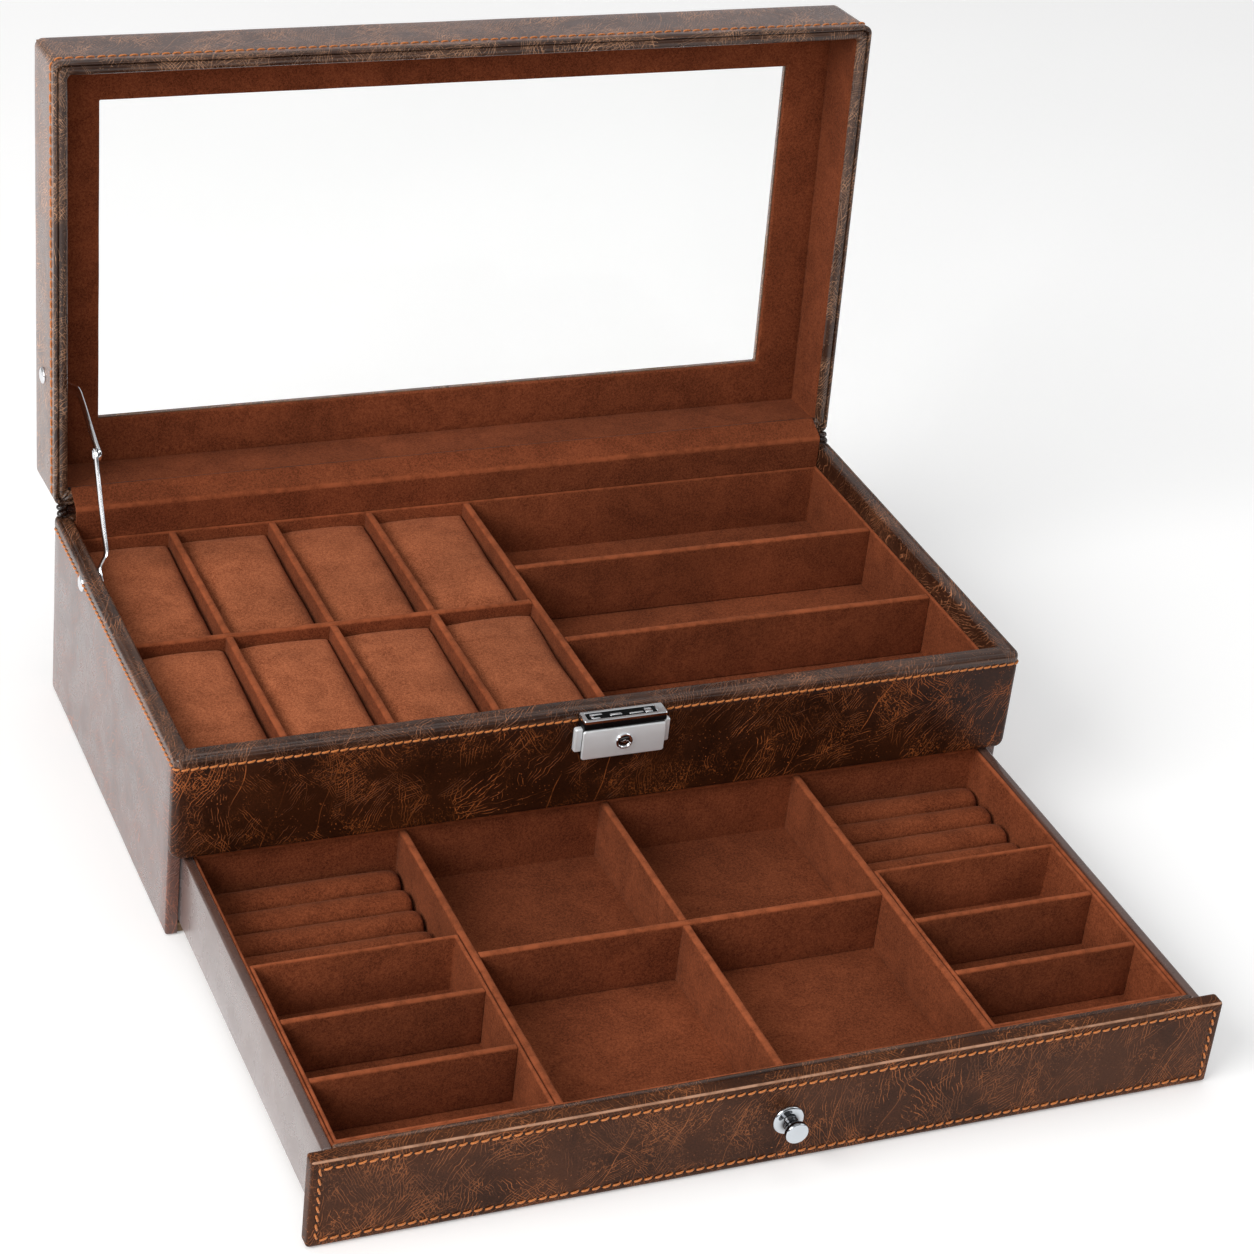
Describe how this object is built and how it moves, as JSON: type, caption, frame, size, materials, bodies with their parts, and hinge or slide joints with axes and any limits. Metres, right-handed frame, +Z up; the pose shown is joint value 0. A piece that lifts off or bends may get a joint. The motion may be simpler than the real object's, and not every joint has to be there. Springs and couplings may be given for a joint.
{
  "type": "watch box with drawer",
  "caption": "Leather-covered watch box with a glazed hinged lid on a folding stay, a suede tray for watches and glasses, a front lock and a divided drawer.",
  "frame": {"origin": "on the floor under the middle of the case", "axes": "+Z up, +X to the right seen from the front, +Y to the back; the drawer opens towards -Y"},
  "size_m": [0.3411, 0.4055, 0.2644],
  "materials": {
    "thin_dark_felt_sheet": "thin dark felt sheet",
    "plain_fibreboard": "plain fibreboard",
    "dark_brown_crackled_leather": "dark brown crackled leather",
    "dark_brown_padded_leather": "dark brown padded leather",
    "dark_leather_on_card": "dark leather on card",
    "tan_suede_on_card": "tan suede on card",
    "tan_suede": "tan suede",
    "tan_suede_on_board": "tan suede on board",
    "lighter_suede_over_foam": "lighter suede over foam",
    "dark_brown_leather": "dark brown leather",
    "clear_pane": "clear pane",
    "bright_plated_steel": "bright plated steel",
    "polished_chrome": "polished chrome",
    "brushed_satin": "brushed satin",
    "gloss_black": "gloss black",
    "plain_steel": "plain steel",
    "polished_chrome_with_a_dark_keyway": "polished chrome with a dark keyway",
    "board_in_smooth_dark_brown_leather": "board in smooth dark brown leather",
    "board": "board",
    "suede_over_foam_rolls": "suede over foam rolls"
  },
  "bodies": {
    "case": {"base_sheet": "thin_dark_felt_sheet", "bottom_board": "plain_fibreboard", "side_board_left": "plain_fibreboard", "side_board_right": "plain_fibreboard", "back_board": "plain_fibreboard", "fascia_board": "plain_fibreboard", "deck_board": "plain_fibreboard", "case_cover": "dark_brown_crackled_leather", "fascia_cover": "dark_brown_crackled_leather", "rim_cover": "dark_brown_padded_leather", "rim_lining": "dark_leather_on_card", "back_lining": "tan_suede_on_card", "tray_floor": "tan_suede", "tray_collar": "tan_suede_on_card", "main_divider": "tan_suede_on_board", "row_divider": "tan_suede_on_board", "column_dividers": "tan_suede_on_board", "glasses_dividers": "tan_suede_on_board", "watch_pillows": "lighter_suede_over_foam", "hinge_spine": "dark_brown_leather", "hinge_strip_case": "tan_suede", "stay_rivet_case": "bright_plated_steel", "lock_case": "polished_chrome", "lock_faceplate": "brushed_satin", "lock_bezel": "gloss_black", "lock_latch": "plain_steel"},
    "lid": {"lid_frame": "plain_fibreboard", "lid_top_panel": "plain_fibreboard", "lid_cover": "dark_brown_crackled_leather", "lid_rim": "dark_brown_padded_leather", "lid_glass": "clear_pane", "lid_velvet_frame": "tan_suede_on_card", "lid_lining": "tan_suede_on_card", "hinge_strip_lid": "tan_suede", "stay_rivet_lid": "bright_plated_steel"},
    "drawer": {"drawer_side_left": "board_in_smooth_dark_brown_leather", "drawer_side_right": "board_in_smooth_dark_brown_leather", "drawer_back_board": "board", "drawer_inner_front": "board", "drawer_bottom": "board", "drawer_front_board": "board", "drawer_front_cover": "dark_brown_crackled_leather", "drawer_floor_pad": "tan_suede", "drawer_wall_lining": "tan_suede_on_card", "drawer_long_dividers": "tan_suede_on_board", "drawer_middle_divider": "tan_suede_on_board", "drawer_cross_divider": "tan_suede_on_board", "small_tray_left": "tan_suede_on_card", "small_tray_right": "tan_suede_on_card", "small_tray_dividers": "tan_suede_on_card", "ring_cushion_left": "suede_over_foam_rolls", "ring_cushion_right": "suede_over_foam_rolls", "drawer_knob": "polished_chrome", "knob_screw": "plain_steel"},
    "stay_lower": {"stay_arm_lower": "bright_plated_steel", "stay_rivet": "bright_plated_steel"},
    "stay_upper": {"stay_arm_upper": "bright_plated_steel"},
    "lock_plug": {"lock_plug": "polished_chrome_with_a_dark_keyway"},
    "lock_tab_left": {"lock_tab_left": "polished_chrome"},
    "lock_tab_right": {"lock_tab_right": "polished_chrome"}
  },
  "joints": [
    {"name": "lid_hinge", "type": "hinge", "parent": "case", "child": "lid", "pos_m": [0, 0.092, 0.0822], "axis": [1, 0, 0], "range_deg": [0, 94]},
    {"name": "stay_lower_pivot", "type": "hinge", "parent": "case", "child": "stay_lower", "pos_m": [-0.159, 0.045, 0.0746], "axis": [1, 0, 0], "range_deg": [0, 102.2]},
    {"name": "stay_upper_pivot", "type": "hinge", "parent": "lid", "child": "stay_upper", "pos_m": [-0.158, 0.11205, 0.13092], "axis": [1, 0, 0], "range_deg": [-102.8, 0]},
    {"name": "drawer_slide", "type": "slide", "parent": "case", "child": "drawer", "axis": [0, 1, 0], "range_m": [0, 0.1689]},
    {"name": "key_plug_turn", "type": "hinge", "parent": "case", "child": "lock_plug", "pos_m": [0, -0.098, 0.0686], "axis": [0, 1, 0], "range_deg": [0, 90]},
    {"name": "tab_left_push", "type": "slide", "parent": "case", "child": "lock_tab_left", "axis": [1, 0, 0], "range_m": [0, 0.0018], "stiffness_N_per_m": 300},
    {"name": "tab_right_push", "type": "slide", "parent": "case", "child": "lock_tab_right", "axis": [-1, 0, 0], "range_m": [0, 0.0018], "stiffness_N_per_m": 300}
  ],
  "couplings": [
    {"joint": "stay_lower_pivot", "follows": "lid_hinge", "ratio": 1.086},
    {"joint": "stay_upper_pivot", "follows": "lid_hinge", "ratio": -1.092}
  ]
}
